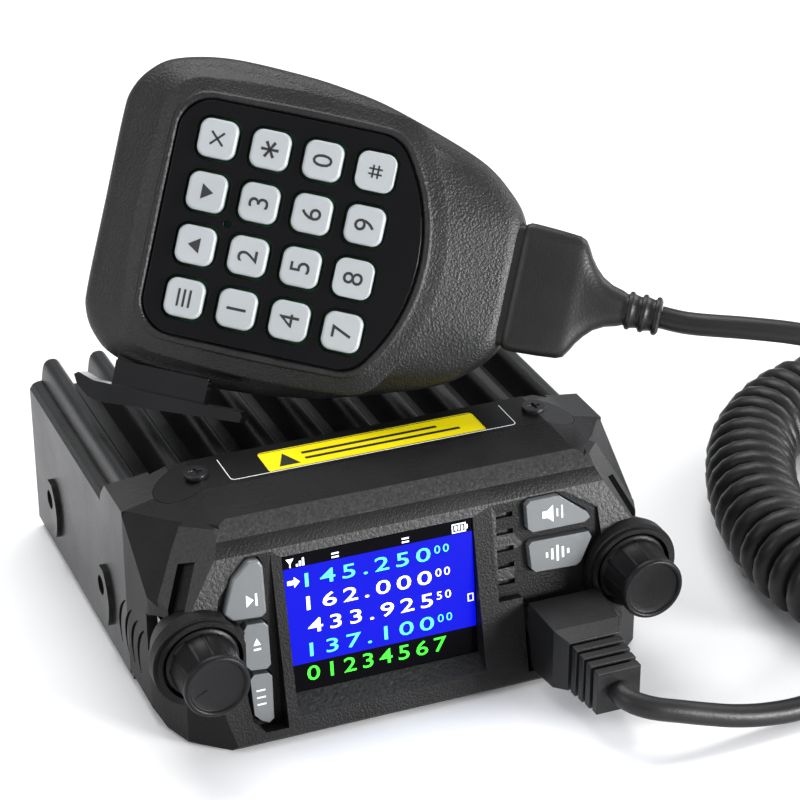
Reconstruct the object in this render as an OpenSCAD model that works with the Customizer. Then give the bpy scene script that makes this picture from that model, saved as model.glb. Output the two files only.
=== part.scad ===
/* [Radio body] */
// Width of the radio over its side walls
body_w = 98; // [94:1:104]
// Depth of the radio from its rear wall to its front lip
body_d = 96; // [94:1:104]
// Height of the trim plate above the base
body_h = 41.2; // [40.6:0.1:43]
// Height of the cooling fins above the base
fin_h = 37.5; // [36:0.5:38.5]
// Number of cooling fins between the two side walls
fin_count = 10; // [6:2:12]
// Thickness of the cast walls
wall = 3.5; // [3:0.5:4]
/* [Front panel] */
// Distance of each knob from the middle of the panel
knob_x = 43; // [42:0.5:44]
// Height of both knobs above the base
knob_z = 18.6; // [17:0.2:20]
// Diameter of a knob at its front rim
knob_d = 12.4; // [11:0.2:13]
// Lean of the display and the buttons back from upright
panel_tilt = 7.5; // [5:0.5:9]
// Travel of a front panel button
button_travel = 0.6; // [0.3:0.1:0.8]
/* [Microphone] */
// Spacing of the microphone's keys in both directions
key_pitch = 10.3; // [10:0.1:10.6]
// Side length of one key
key_size = 7.4; // [7:0.1:8]
// Depth of the microphone behind its keypad face
mic_depth = 27; // [24:0.5:28]
/* [Cord] */
// Diameter of the cord
cord_d = 4.4; // [4:0.1:5]
// Outer diameter of the curly stretch of the cord
curl_d = 19.2; // [18:0.2:20]
/* [Hidden] */
KEY_NAMES = [["key_exit", "key_star", "key_0", "key_hash"], ["key_down", "key_3", "key_6", "key_9"],
    ["key_up", "key_2", "key_5", "key_8"], ["key_menu", "key_1", "key_4", "key_7"]];
$fn = 48;

gap = 0.3;
eps = 0.01;
rear_y = body_d / 2;
lip_y = -body_d / 2 + 0.5;
seam_y = -17;
side_x = body_w / 2;
cover_t = 1.6;
base_z = 0.3;

// ---- shapes used by several pieces ----
module along_x(x0, x1) translate([x0, 0, 0]) rotate([90, 0, 90]) linear_extrude(x1 - x0) children();
module along_y(y0, y1) translate([0, y1, 0]) rotate([90, 0, 0]) linear_extrude(y1 - y0) children();
module rod_y(d, y0, y1) translate([0, y1, 0]) rotate([90, 0, 0]) cylinder(d = d, h = y1 - y0);
module rod_x(d, x0, x1) translate([x0, 0, 0]) rotate([0, 90, 0]) cylinder(d = d, h = x1 - x0);
module both_sides() { children(); mirror([1, 0, 0]) children(); }
module box(lo, hi) translate(lo) cube(hi - lo);
// A rectangle with round corners, centred
module round_rect(w, h, r) {
    square([w - 2 * r, h], center = true);
    square([w, h - 2 * r], center = true);
    for (x = [-1, 1], y = [-1, 1]) translate([x * (w / 2 - r), y * (h / 2 - r)]) circle(r);
}
// Mirrors a list of [x, z] points about x = 0 and closes it into one outline
function mirrored(p) = concat(p, [for (i = [len(p) - 1:-1:0]) [-p[i][0], p[i][1]]]);

// ---- radio body ----
shoulder_z = 36.7;
// Front view of the body: right half, from the base up to the top
body_outline = mirrored([
    [side_x - 1.5, base_z], [side_x, 2.5], [side_x, shoulder_z],
    [side_x - 6.2, 38.2], [34.5, body_h]]);
// The same outline, lowered under the trim plate
trim_t = 1.2;
trim_front_y = -22.2;
trim_rear_y = -10.8;
fin_pitch = (body_w - 9.8) / (fin_count - 1);
fin_front_y = -9;
trough_z = 31;
cavity_x = side_x - wall;
cavity_top = 28;
board_top = 21.1;
board_half_w = cavity_x - 4;
// Half profile of one fin: flanks slope in to a rounded crest
fin_side = [[2.7, 0], [1.95, 0.72], [1.6, 0.88], [1, 0.97], [0.4, 1]];
module fin_profile(h) polygon(concat([for (p = fin_side) [p[0], p[1] * h]],
    [for (i = [len(fin_side) - 1:-1:0]) [-fin_side[i][0], fin_side[i][1] * h]]));

fan_x = -16;
fan_z = 15.2;
fan_size = 25;
fan_t = 8;
socket_x = 20;
socket_z = 14;
grommet_x = 39;
jack_x = -36.5;
cover_screw_x = 40;
cover_screw_y = [-8, 28];
bracket_y = [1, 37.5];
bracket_z = 11;
bracket_r = 2;
bracket_depth = 7;

module rear_holes() {
    translate([fan_x, 0, fan_z]) difference() {
        rod_y(fan_size - 2.5, rear_y - wall - 1, rear_y + 1);
        rod_y(9, rear_y - wall - 2, rear_y + 2);
        for (a = [0:45:135]) rotate([0, a, 0])
            box([-20, rear_y - wall - 2, -0.6], [20, rear_y + 2, 0.6]);
        rotate([90, 0, 0]) translate([0, 0, -rear_y - 2]) difference() {
            cylinder(d = 17, h = wall + 4);
            translate([0, 0, -1]) cylinder(d = 14.6, h = wall + 6);
        }
    }
    translate([socket_x, 0, socket_z]) rod_y(12.2, rear_y - wall - 1, rear_y + 1);
    translate([grommet_x, 0, socket_z]) rod_y(9.2, rear_y - wall - 1, rear_y + 1);
    translate([jack_x, 0, socket_z]) rod_y(6.2, rear_y - wall - 1, rear_y + 1);
}
// Raised crescent beside each bracket hole, it guides the bracket
module bracket_crescent() rotate([0, -90, 0]) intersection() {
    difference() {
        cylinder(r = 8.6, h = 1);
        translate([0, 0, -1]) cylinder(r = 7.2, h = 3);
    }
    translate([-5, -10, -1]) cube([11.5, 8.5, 3]);
}
module heatsink_chassis() color("#3b3a3c") difference() {
    union() {
        box([-side_x, seam_y, cover_t], [side_x, rear_y, trough_z]);
        for (i = [0:fin_count - 1]) translate([(i - (fin_count - 1) / 2) * fin_pitch, 0, trough_z - 0.5])
            along_y(fin_front_y - 1, rear_y) fin_profile(fin_h - trough_z + 0.5);
        both_sides() {
            translate([side_x - 2.3, 0, trough_z - 1]) along_y(-2, rear_y)
                polygon([[-2.4, 0], [2.3, 0], [2.3, 1.6], [1.6, 2.6], [0.6, 3], [-0.6, 3], [-1.5, 2.5]]);
            // shoulder that rises to the bezel in front of the outer fins
            intersection() {
                along_x(side_x - 8, side_x)
                    polygon([[seam_y, cover_t], [seam_y, 40], [-9, 40], [-3, 33.5], [-1.5, 30], [-1.5, cover_t]]);
                along_y(seam_y, 0) polygon(body_outline);
            }
            for (y = bracket_y) translate([side_x - eps, y, bracket_z])
                mirror([1, 0, 0]) bracket_crescent();
            for (y = bracket_y) translate([0, y, bracket_z]) rod_x(9, side_x - 7, side_x - wall + 1);
            for (y = cover_screw_y) translate([cover_screw_x, y, cover_t]) cylinder(d = 7, h = 28);
        }
        // ears under the trim screws
        for (x = [-1, 1]) translate([x * trim_screw_x, trim_screw_y, 32]) cylinder(d = 6.4, h = body_h - trim_t - 32);
        // cross bar under the rear half of the trim plate
        intersection() {
            box([-side_x, seam_y, trough_z - 1], [side_x, fin_front_y, body_h - trim_t]);
            along_y(seam_y, 0) polygon(body_outline);
        }
    }
    difference() {
        box([-cavity_x, seam_y - 1, cover_t - 1], [cavity_x, rear_y - wall, cavity_top]);
        both_sides() {
            for (y = bracket_y) translate([0, y, bracket_z]) rod_x(9, side_x - 7, side_x);
            for (y = cover_screw_y) translate([cover_screw_x, y, cover_t]) cylinder(d = 7, h = 28);
            // rail that the main board is screwed up against
            box([board_half_w - 1, -6, board_top], [cavity_x + 1, 32, board_top + 1.6]);
        }
    }
    rear_holes();
    vents();
    both_sides() {
        for (y = bracket_y) translate([0, y, bracket_z])
            rod_x(2 * bracket_r, side_x - bracket_depth - 1, side_x + 1);
        for (y = cover_screw_y) translate([cover_screw_x, y, 0]) cylinder(d = 2.5, h = 10);
    }
    // seat of the trim plate
    trim_shape(trim_t + 1, gap / 3);
    for (x = [-1, 1]) translate([x * trim_screw_x, trim_screw_y, 30]) cylinder(d = 2.5, h = 12);
}

// The trim plate: a flat middle and a tongue that follows the shoulder at each end
trim_screw_x = 34.4;
trim_screw_y = -16.8;
tongue_x = 42.5;
module trim_shape(t, grow = 0) {
    box([-34.6, trim_front_y - grow, body_h - trim_t], [34.6, trim_rear_y + grow, body_h - trim_t + t]);
    both_sides() intersection() {
        along_y(-40, 0) polygon([[34.5, body_h - trim_t], [side_x, body_h - trim_t - 5.2],
            [side_x, body_h - 5.2 - trim_t + t], [34.5, body_h - trim_t + t]]);
        translate([0, 0, 20]) linear_extrude(40) difference() {
            union() {
                translate([34, trim_front_y - grow]) square([4, trim_rear_y - trim_front_y + 2 * grow]);
                translate([37, -16.9]) circle(5.55 + grow);
            }
            translate([30, trim_rear_y + grow]) square([20, 5]);
        }
    }
}
module top_trim_plate() color("#1c1c1e") difference() {
    trim_shape(trim_t);
    for (x = [-1, 1]) translate([x * trim_screw_x, trim_screw_y, 30]) cylinder(d = 3.2, h = 20);
    label_shape(0.4, 0.1);
}
label_w = 44;
label_d = 8;
module label_shape(depth, grow) translate([0.8, -17, body_h - depth])
    linear_extrude(depth + 1) round_rect(label_w + 2 * grow, label_d + 2 * grow, 1);
module caution_label() color("#f4e000") intersection() {
    label_shape(0.4, 0);
    box([-30, -30, 0], [30, 0, body_h - 0.1]);
}
module pan_screw(head_d, head_h, shank_d, length) {
    difference() {
        cylinder(d = head_d, h = head_h);
        for (a = [0, 90]) rotate(a) translate([-head_d * 0.28, -0.3, head_h - 0.5])
            cube([head_d * 0.56, 0.6, 1]);
    }
    translate([0, 0, -length]) cylinder(d = shank_d, h = length + eps);
}
module trim_screws() color("#2a2a2c") for (x = [-1, 1])
    translate([x * trim_screw_x, trim_screw_y, body_h]) pan_screw(4.6, 0.9, 2.4, 6);
module bottom_cover() color("#333335") difference() {
    box([-side_x + 0.6, seam_y, 0], [side_x - 0.6, rear_y - 0.4, cover_t]);
    for (x = [-1, 1], y = cover_screw_y) translate([x * cover_screw_x, y, -1]) cylinder(d = 5.4, h = 1.9);
    for (x = [-1, 1], y = cover_screw_y) translate([x * cover_screw_x, y, -1]) cylinder(d = 3, h = 5);
    for (i = [-3:3]) translate([i * 3.6 - 14, 4, -1]) cube([1.6, 22, 5]);
}
module cover_screws() color("#1e1e20") for (x = [-1, 1], y = cover_screw_y)
    translate([x * cover_screw_x, y, 0.9]) mirror([0, 0, 1]) pan_screw(4.6, 0.8, 2.4, 6);

// ---- front bezel ----
tilt_k = tan(panel_tilt);
// y of the display plane at height z
function display_y(z) = -40.6 - (21 - z) * tilt_k;
frame_k = 0.242;
// y of the front frame's face at height z
function frame_y(z) = lip_y + (z - 0.8) * frame_k;
slope_top_y = -34.1;
slope_bottom = [-37.4, 38.6];
bezel_wall = 2.4;
boss_r = 9.2;
boss_front_y = -43.6;
// Side view of the bezel
bezel_profile = [[seam_y, base_z], [lip_y + 0.8, base_z], [lip_y, 1.2], [frame_y(36), 36],
    slope_bottom, [slope_top_y, body_h], [seam_y, body_h]];
// Plan view of the bezel: right half
bezel_plan = mirrored([[38, lip_y], [side_x - 3.6, -41], [side_x, -31], [side_x, seam_y]]);
// The facet between the top and each side, x runs down it and y towards the rear
module on_facet(z) translate([side_x, seam_y, z]) rotate([0, 0, -27.5]) rotate([0, 56, 0]) children();
// Raised bar on the facet beside each bay, and the recess in it
bar_h = 0.8;
bar_sink = 0.7;
bar_outline = [[-5, -13.9], [2, -14.4], [15.4, -16.2], [18, -24], [12, -34], [-5, -34]];
bar_recess = [[3.6, -16.9], [2, -20.4], [11, -22.3], [13.6, -18.9]];
module bezel_body() {
    difference() {
        intersection() {
            along_x(-side_x, side_x) polygon(bezel_profile);
            along_y(-60, seam_y) polygon(body_outline);
            linear_extrude(60) polygon(bezel_plan);
        }
        both_sides() on_facet(35.9) {
            translate([-60, -60, bar_h]) cube([120, 120, 30]);
            linear_extrude(bar_h + 1) difference() {
                square(120, center = true);
                polygon(bar_outline);
            }
            translate([0, 0, -bar_sink]) linear_extrude(4) polygon(bar_recess);
        }
    }
}
display_x = [-26, 11.6];
display_z = [6.8, 34.4];
// Sunk bay for the left hand buttons, front view
left_bay = [[-28, 36], [-32.8, 36], [-38.6, 29], [-39.4, 25.6], [-35.6, 13.4], [-34.6, 4.6], [-32.4, 2.2], [-28, 2.2]];
// Sunk bay for the right hand buttons and the microphone socket, front view
right_bay = [[15.4, 36.2], [29.8, 36.2], [37, 31.4], [37.4, 26], [34.4, 20.6], [36.2, 17.6], [36.2, 2.2], [20.2, 2.2],
    [20.2, 17], [15.4, 17]];
// Front view outlines of the button caps
vm_cap = [[-30.6, 35.2], [-29.9, 34], [-29.8, 24.8], [-30.8, 24], [-36.4, 24.4], [-38, 26], [-35.9, 32.4], [-32.6, 35.4]];
call_cap = [[-30.6, 23], [-29.8, 22.2], [-29.8, 14.4], [-30.6, 13.7], [-33.6, 14], [-34.6, 15], [-34.6, 22], [-33.8, 23.2]];
exit_cap = [[-30.6, 12.9], [-29.8, 12.1], [-30, 3.6], [-31, 2.9], [-32.4, 3.6], [-33.7, 5], [-34, 12.2], [-33.2, 13.1]];
moni_cap = [[22.8, 35.7], [28.6, 35.7], [34.4, 31.2], [35, 30], [33.8, 29.3], [23.2, 29.4], [22.2, 30.2], [22, 34.9]];
fm_cap = [[22.8, 27.5], [34.6, 27.2], [35.2, 26], [32.8, 21.4], [31.8, 20.8], [23.4, 21.2], [22.6, 22], [22.2, 26.8]];
CAPS = [vm_cap, call_cap, exit_cap, moni_cap, fm_cap];
bay_depth = 2.2;
// Distance of the front circuit board behind the display plane
board_front = 11.6;
cap_proud = 1.8;
// [y, z] of a point in the leaning display plane's own frame: y into the panel, z up along it
function lean_point(y, z) = [display_y(0) + y * cos(panel_tilt) + z * sin(panel_tilt),
    -y * sin(panel_tilt) + z * cos(panel_tilt)];
// A prism through a front view outline, from depth y0 to y1 of the leaning display plane
module leaning(y0, y1) translate([0, display_y(0), 0]) rotate([-panel_tilt, 0, 0])
    along_y(y0, y1) children();
// One of the four curved vents in each side, side view
function vent_side(i, w) = [for (t = [-1:0.25:1])
    [-12 - 3.9 * i - 1.7 * t - 2.5 * t * t + w * (1 - 0.7 * t * t), 11.8 + 5.6 * t]];
function vent(i) = concat(vent_side(i, -0.7), [for (p = [8:-1:0]) vent_side(i, 0.7)[p]]);
module vents() both_sides() for (i = [0:3]) along_x(side_x - 1.1, side_x + 1) polygon(vent(i));
jack_c = [28.2, 9.6];
jack_w = 12;
jack_h = 6.8;
module front_bezel() color("#2c2c2e") difference() {
    union() {
        difference() {
            bezel_body();
            leaning(-12, bay_depth - 2.6) polygon(left_bay);
            leaning(-12, bay_depth - 2.6) polygon(right_bay);
        }
        // round shroud behind each knob
        both_sides() translate([knob_x, 0, knob_z]) {
            rod_y(2 * boss_r, boss_front_y, boss_front_y + 2.6);
            translate([0, -31, 0]) rotate([90, 0, 0]) cylinder(r1 = 5.6, r2 = boss_r, h = -33.6 - boss_front_y + 0.01);
            rod_y(2 * boss_r - 1.5, boss_front_y - 0.8, boss_front_y + 1);
        }
    }
    // hollow inside, open to the rear
    difference() {
        intersection() {
            along_x(-side_x + bezel_wall, side_x - bezel_wall) polygon([[seam_y - 15, 2.6], [seam_y - 15, 38.4],
                [seam_y + 1, 38.4], [seam_y + 1, 2.6]]);
            along_y(-60, seam_y + 1) offset(delta = -bezel_wall) polygon(body_outline);
        }
        both_sides() on_facet(33.2) translate([-60, -60, 0]) cube([120, 120, 30]);
        // posts of the front circuit board
        for (x = [-37, 37]) leaning(6, board_front) translate([x, 8]) circle(d = 5);
    }
    along_x(-33, 35.6) polygon([[-30, 2.6], [display_y(2.6) + 3.4, 2.6], [display_y(36.4) + 3.4, 36.4], [-30, 36.4]]);
    // display opening with its sloping chin
    along_x(display_x[0], display_x[1]) polygon([lean_point(6, display_z[0]), lean_point(6, display_z[1]),
        lean_point(-20, display_z[1]), [lip_y - 15, 3.4], [lip_y - 1, 3.4], lean_point(-0.2, display_z[0])]);
    for (c = CAPS) leaning(-12, 13) offset(delta = gap) polygon(c);
    // socket for the microphone plug
    translate([jack_c[0] - jack_w / 2 - 0.7, -60, jack_c[1] - jack_h / 2 - 0.7])
        cube([jack_w + 1.4, 40, jack_h + 1.4]);
    // knob bores
    both_sides() translate([knob_x, 0, knob_z]) {
        rod_y(15.2, lip_y - 1, boss_front_y + 2);
        rod_y(7.2, boss_front_y - 1, -20);
        rod_y(14.4, -40.8, -30);
    }
    vents();
    // groups of short slots beside the display
    for (i = [0:4]) leaning(-12, 0.6) translate([18, 33.4 - 3.4 * i]) square([3.4, 1], center = true);
    trim_shape(trim_t + 1, gap / 3);
    for (x = [-1, 1]) translate([x * trim_screw_x, trim_screw_y, 30]) cylinder(d = 6.8, h = 12);
}
module display_window() color("#0b0c10") intersection() {
    leaning(-0.4, 0.8) translate([(display_x[0] + display_x[1]) / 2, (display_z[0] + display_z[1]) / 2])
        square([display_x[1] - display_x[0] - 0.2, display_z[1] - display_z[0] - 0.2], center = true);
    box([-60, -60, 0], [60, 0, 60]);
}
module display_module() color("#1020d8") leaning(0.9, 3.3)
    translate([(display_x[0] + display_x[1]) / 2, (display_z[0] + display_z[1]) / 2])
    square([display_x[1] - display_x[0] - 0.6, display_z[1] - display_z[0] - 0.6], center = true);
module front_circuit_board() color("#1d5c33") difference() {
    leaning(board_front, board_front + 1.2) translate([0, 20.5]) square([2 * side_x - 14, 29], center = true);
    translate([jack_c[0] - 8, -60, 0]) cube([16, 60, 17.5]);
}
module button(cap) {
    leaning(-cap_proud, 1.4) polygon(cap);
    // plunger behind the cap
    leaning(1.3, board_front - button_travel - 0.2) translate((cap[0] + cap[2] + cap[4] + cap[6]) / 4) circle(d = 3);
}
module vm_button() color("#8b9093") button(vm_cap);
module call_button() color("#8b9093") button(call_cap);
module exit_button() color("#8b9093") button(exit_cap);
module moni_button() color("#8b9093") button(moni_cap);
module fm_button() color("#8b9093") button(fm_cap);

knob_front_y = -52.8;
knob_back_y = -43;
shaft_d = 6;
module knob(side) translate([side * knob_x, 0, knob_z]) {
    difference() {
        union() {
            rotate([90, 0, 0]) rotate_extrude()
                polygon([[0, -knob_back_y], [7, -knob_back_y], [7, -knob_back_y + 1.4], [knob_d / 2, -knob_front_y - 0.6],
                    [knob_d / 2 - 0.5, -knob_front_y], [5.2, -knob_front_y], [5, -knob_front_y - 0.4], [0, -knob_front_y - 0.7]]);
        }
        for (a = [0:45:315]) rotate([0, a, 0]) translate([7.6, 0, 0]) rotate([0, 0, 0])
            rod_y(1.6, knob_front_y + 2, knob_back_y - 1.2);
        if (side < 0) rotate([0, 40, 0]) box([-5, knob_front_y - 1, -0.35], [-1.4, knob_front_y + 1, 0.35]);
    }
    rod_y(shaft_d, knob_back_y - 1, -35.6);
}
module volume_knob() color("#232325") knob(-1);
module channel_knob() color("#232325") knob(1);
// Body of a rotary control: it sits in the shroud and its bore holds the knob's shaft
module control_body(side, rear) translate([side * knob_x, 0, knob_z]) difference() {
    union() {
        box([-4.8, -40.6, -4.8], [4.8, rear, 4.8]);
        rod_y(6.9, -42.9, -40.5);
    }
    rod_y(shaft_d + 0.1, -44, -35.2);
}
module volume_pot() color("#9a9a96") control_body(-1, -33);
module channel_encoder() color("#8d9a8f") control_body(1, -32.4);

// ---- inside the radio ----
module main_circuit_board() color("#1d5c33") difference() {
    box([-board_half_w, seam_y + 1, board_top - 1.6], [board_half_w, rear_y - wall - fan_t - 2, board_top]);
    box([fan_x - 14, rear_y - 24, 18], [fan_x + 14, rear_y, 23]);
    both_sides() for (y = cover_screw_y) translate([cover_screw_x, y, 0]) cylinder(d = 8, h = 40);
}
module speaker() color("#4a4a4d") translate([-14, 15, cover_t]) {
    difference() {
        cylinder(d = 32, h = 5);
        translate([0, 0, -1]) cylinder(d1 = 25, d2 = 12, h = 5);
    }
    translate([0, 0, 4.9]) cylinder(d = 16, h = 4);
}
fan_y = rear_y - wall - fan_t - 0.2;
module fan_frame() color("#1a1a1a") translate([fan_x, 0, fan_z]) difference() {
    box([-fan_size / 2, fan_y, -fan_size / 2], [fan_size / 2, fan_y + fan_t, fan_size / 2]);
    difference() {
        rod_y(fan_size - 2, fan_y - 1, fan_y + fan_t + 1);
        rod_y(9, fan_y - 2, fan_y + 1.6);
        for (a = [0:120:240]) rotate([0, a, 0]) box([0, fan_y - 2, -0.8], [20, fan_y + 1.6, 0.8]);
    }
    for (x = [-10.2, 10.2], z = [-10.2, 10.2]) translate([x, 0, z]) rod_y(1.8, fan_y - 1, fan_y + fan_t + 1);
}
module fan_rotor() color("#2a2a2a") translate([fan_x, 0, fan_z]) {
    rod_y(9.6, fan_y + 2, fan_y + fan_t - 0.6);
    for (a = [0:360 / 7:359]) rotate([0, a, 0]) translate([4, fan_y + 4.7, 0])
        rotate([35, 0, 0]) box([0, -2.6, -0.4], [6.6, 2.6, 0.4]);
}
thread_d = 15.9;
module antenna_socket() color("#c9c9c4") translate([socket_x, 0, socket_z]) difference() {
    union() {
        box([-12.5, rear_y, -12], [12.5, rear_y + 2, 12]);
        rod_y(thread_d, rear_y + 1, rear_y + 14);
        rod_y(11.8, rear_y - wall - 2, rear_y + 1);
    }
    rod_y(11, rear_y + 3, rear_y + 15);
    rod_y(9, rear_y - wall - 3, rear_y + 4);
    for (x = [-9.2, 9.2], z = [-8.8, 8.8]) translate([x, 0, z]) rod_y(3, rear_y - 1, rear_y + 3);
}
module antenna_insulator() color("#efeee6") translate([socket_x, 0, socket_z]) difference() {
    rod_y(8.8, rear_y - wall - 4, rear_y + 8);
    rod_y(3.9, rear_y - 2, rear_y + 9);
}
module power_grommet() color("#151515") translate([grommet_x, 0, socket_z]) difference() {
    union() {
        rod_y(12, rear_y, rear_y + 2);
        rod_y(9, rear_y - wall, rear_y + 1);
        rod_y(12, rear_y - wall - 2, rear_y - wall);
    }
    rod_y(5.5, rear_y - wall - 3, rear_y + 3);
}
jack_bore = 3.6;
module speaker_jack() color("#1b1b1d") translate([jack_x, 0, socket_z]) difference() {
    union() {
        rod_y(8, rear_y, rear_y + 1.8);
        rod_y(6, rear_y - wall - 1, rear_y + 1);
        box([-4.5, rear_y - wall - 12, -4.5], [4.5, rear_y - wall, 4.5]);
    }
    rod_y(jack_bore, rear_y - wall - 10, rear_y + 3);
}

// ---- microphone plug and socket ----
plug_face_y = -68.5;
boot_back_y = -44.6;
module mic_jack() color("#b9b7ad") translate([jack_c[0], 0, jack_c[1]]) difference() {
    box([-jack_w / 2 - 1, -37.8, -jack_h / 2 - 1], [jack_w / 2 + 1, -24, jack_h / 2 + 1]);
    box([-jack_w / 2 + 0.1, -41, -jack_h / 2 + 0.1], [jack_w / 2 - 0.1, -27, jack_h / 2 - 0.1]);
}
module modular_plug() color("#d9e2e4") translate([jack_c[0], 0, jack_c[1]])
    box([-5.4, boot_back_y, -2.9], [5.4, -28.5, 2.9]);
// Overmoulded boot: a tapered block, then square ribs that let it bend
module boot_block(y0, y1, w0, h0, w1, h1) hull() {
    box([-w0 / 2, y1 - 0.2, -h0 / 2], [w0 / 2, y1, h0 / 2]);
    box([-w1 / 2, y0, -h1 / 2], [w1 / 2, y0 + 0.2, h1 / 2]);
}
module plug_boot() color("#262628") translate([jack_c[0], 0, jack_c[1]]) difference() {
    union() {
        boot_block(-54.5, boot_back_y, 14.6, 13.6, 13.4, 12.4);
        boot_block(-58, -54.4, 13.4, 12.4, 10.4, 10.4);
        box([-3.6, plug_face_y + 1, -3.6], [3.6, -57, 3.6]);
        for (i = [0:3]) box([-5 + i * 0.2, plug_face_y + 0.1 + (3 - i) * 2.6, -5 + i * 0.2],
            [5 - i * 0.2, plug_face_y + 1.9 + (3 - i) * 2.6, 5 - i * 0.2]);
    }
}

// ---- microphone ----
mic_centre = [-8.1, 7.4, 75.3];
mic_angles = [63.6, 8.5, -32.9];
module on_mic() translate(mic_centre) rotate(mic_angles) children();
parting_w = -9;
// Half outline of the microphone at its parting line, along its length
mic_half = [[-36, 0], [-36, 16.5], [-35.4, 21.6], [-32.8, 26], [-28, 29.4], [-18, 31.4], [-4, 31.2],
    [6, 30.2], [16, 28.2], [33.2, 22.4], [40.6, 17.4], [44.4, 12.6], [45.2, 7], [45.2, 0]];
function mic_outline(inset) = [for (s = [1, -1], i = [0:len(mic_half) - 1])
    let (p = s > 0 ? mic_half[i] : mic_half[len(mic_half) - 1 - i])
        [p[0] - (abs(p[0]) > 30 ? inset * sign(p[0]) : 0), s * p[1] * (1 - inset / 30)]];
module mic_slice(w, inset, t = 0.2) translate([0, 0, w]) linear_extrude(t) polygon(mic_outline(inset));
mic_wall = 2.2;
panel_half_w = 22.6;
panel_left = -23.4;
panel_bulge = 26.8;
// Keypad panel: square with round corners, its cord end bulges out in an arc
panel_corner = 6.5;
module panel_outline(grow = 0) offset(r = panel_corner + grow) offset(delta = -panel_corner) intersection() {
    translate([panel_left, -panel_half_w]) square([30 - panel_left, 2 * panel_half_w]);
    translate([panel_bulge - 34, 0]) circle(r = 34);
}
ptt_pocket = [[-29, -40, -9.6], [-6, -24, -3.2]];
module mic_front_shell() color("#29292b") on_mic() difference() {
    hull() {
        mic_slice(parting_w, 0);
        mic_slice(-4.5, 0.6);
        mic_slice(-1.2, 2.2);
        mic_slice(0.2, 4.4);
    }
    hull() {
        mic_slice(parting_w - 1, mic_wall);
        mic_slice(-3.4, 3.4);
    }
    translate([0, 0, -1.5]) linear_extrude(4) panel_outline(0.15);
    translate([0, 0, -5]) linear_extrude(8) panel_outline(-1.6);
    box(ptt_pocket[0], ptt_pocket[1]);
    box([30, -12.2, -20], [50, 12.2, -3.4]);
}
module mic_rear_shell() color("#29292b") on_mic() difference() {
    hull() {
        mic_slice(parting_w - 0.2, 0);
        mic_slice(parting_w - 9, 0.8);
        mic_slice(-mic_depth + 3.4, 2.8);
        mic_slice(-mic_depth, 7);
    }
    hull() {
        mic_slice(parting_w, mic_wall);
        mic_slice(parting_w - 9, 3);
        mic_slice(-mic_depth + mic_wall, 7.4);
    }
    box([30, -12.2, parting_w - 5.8], [50, 12.2, 0]);
    box(ptt_pocket[0], ptt_pocket[1]);
    translate([4, 0, -mic_depth - 1]) cylinder(d = 4.2, h = 8);
    for (p = mic_screw_at) translate([p[0], p[1], -mic_depth - 1]) cylinder(d = 3.2, h = 8);
}
mic_screw_at = [[-24, 17], [-24, -17], [30, 0]];
module mic_screws() color("#1b1b1c") on_mic() for (p = mic_screw_at)
    translate([p[0], p[1], -mic_depth]) {
        translate([0, 0, -0.6]) cylinder(d = 4.6, h = 0.6);
        translate([0, 0, -0.1]) cylinder(d = 2.6, h = 6);
    }
module key_at(row, col) translate([(col - 1.5) * key_pitch, (1.5 - row) * key_pitch, 0]) children();
module keypad_panel() color("#0d0d0f") on_mic() difference() {
    translate([0, 0, -1.5]) linear_extrude(1.5) panel_outline();
    for (row = [0:3], col = [0:3]) key_at(row, col) translate([0, 0, -2])
        linear_extrude(3) round_rect(key_size + 1.2, key_size + 1.2, 2.4);
    translate([-key_pitch, 0, -2]) cylinder(d = 1.6, h = 3);
}
key_proud = 1.1;
key_travel = 0.7;
module key_cap(row, col) color("#c3c8cb") on_mic() key_at(row, col) {
    translate([0, 0, -1.2]) linear_extrude(key_proud + 1.2) round_rect(key_size, key_size, 2);
    translate([0, 0, -3]) cylinder(d = 3.4, h = 2);
}
module mic_circuit_board() color("#1d5c33") on_mic()
    box([-25, -20, -6.4], [22, 20, -5]);
module mic_capsule() color("#a8a8a4") on_mic() translate([-key_pitch, 0, -12.4]) cylinder(d = 9.7, h = 5);
module mic_hanger_stud() color("#b7b9bb") on_mic() translate([4, 0, -mic_depth]) {
    translate([0, 0, -6.4]) cylinder(d = 13, h = 2);
    translate([0, 0, -4.5]) cylinder(d = 6.4, h = 4.5);
    cylinder(d = 4, h = 5);
}
// Push-to-talk lever: a wedge bar on a stem that goes into the case and pivots there
ptt_w = [-9.8, -2.2];
ptt_stem_w = [-8.9, -3.9];
ptt_pivot = [-9, -29.5];
pivot_top = -5;
module ptt_lever() color("#19191a") on_mic() {
    translate([0, 0, ptt_w[0]]) linear_extrude(ptt_w[1] - ptt_w[0])
        polygon([[-34, -34.2], [-33.2, -33.6], [-30, -34.6], [-0.8, -34.6], [-0.4, -35.4], [-0.6, -36.6],
            [-28.6, -38.4], [-30.6, -37.8], [-33, -36]]);
    translate([0, 0, ptt_stem_w[0]]) linear_extrude(ptt_stem_w[1] - ptt_stem_w[0])
        polygon([[-26.8, -29.8], [-8.4, -29.8], [-8.4, -35], [-26.8, -35]]);
    translate([0, 0, ptt_stem_w[0]]) linear_extrude(pivot_top - ptt_stem_w[0])
        polygon([[-26.8, -27.6], [-9, -28], [-8.4, -30.2], [-26.8, -30.2]]);
    translate([ptt_pivot[0], ptt_pivot[1], ptt_stem_w[0]]) cylinder(d = 3, h = pivot_top - ptt_stem_w[0]);
    translate([ptt_pivot[0], ptt_pivot[1], ptt_pocket[0][2] + 0.05])
        cylinder(d = 1.6, h = pivot_top - ptt_pocket[0][2] + 0.3);
}
boot_w = -9.4;
ring_u = [67, 69.6, 72.2];
lead_u = 73.4;
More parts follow.
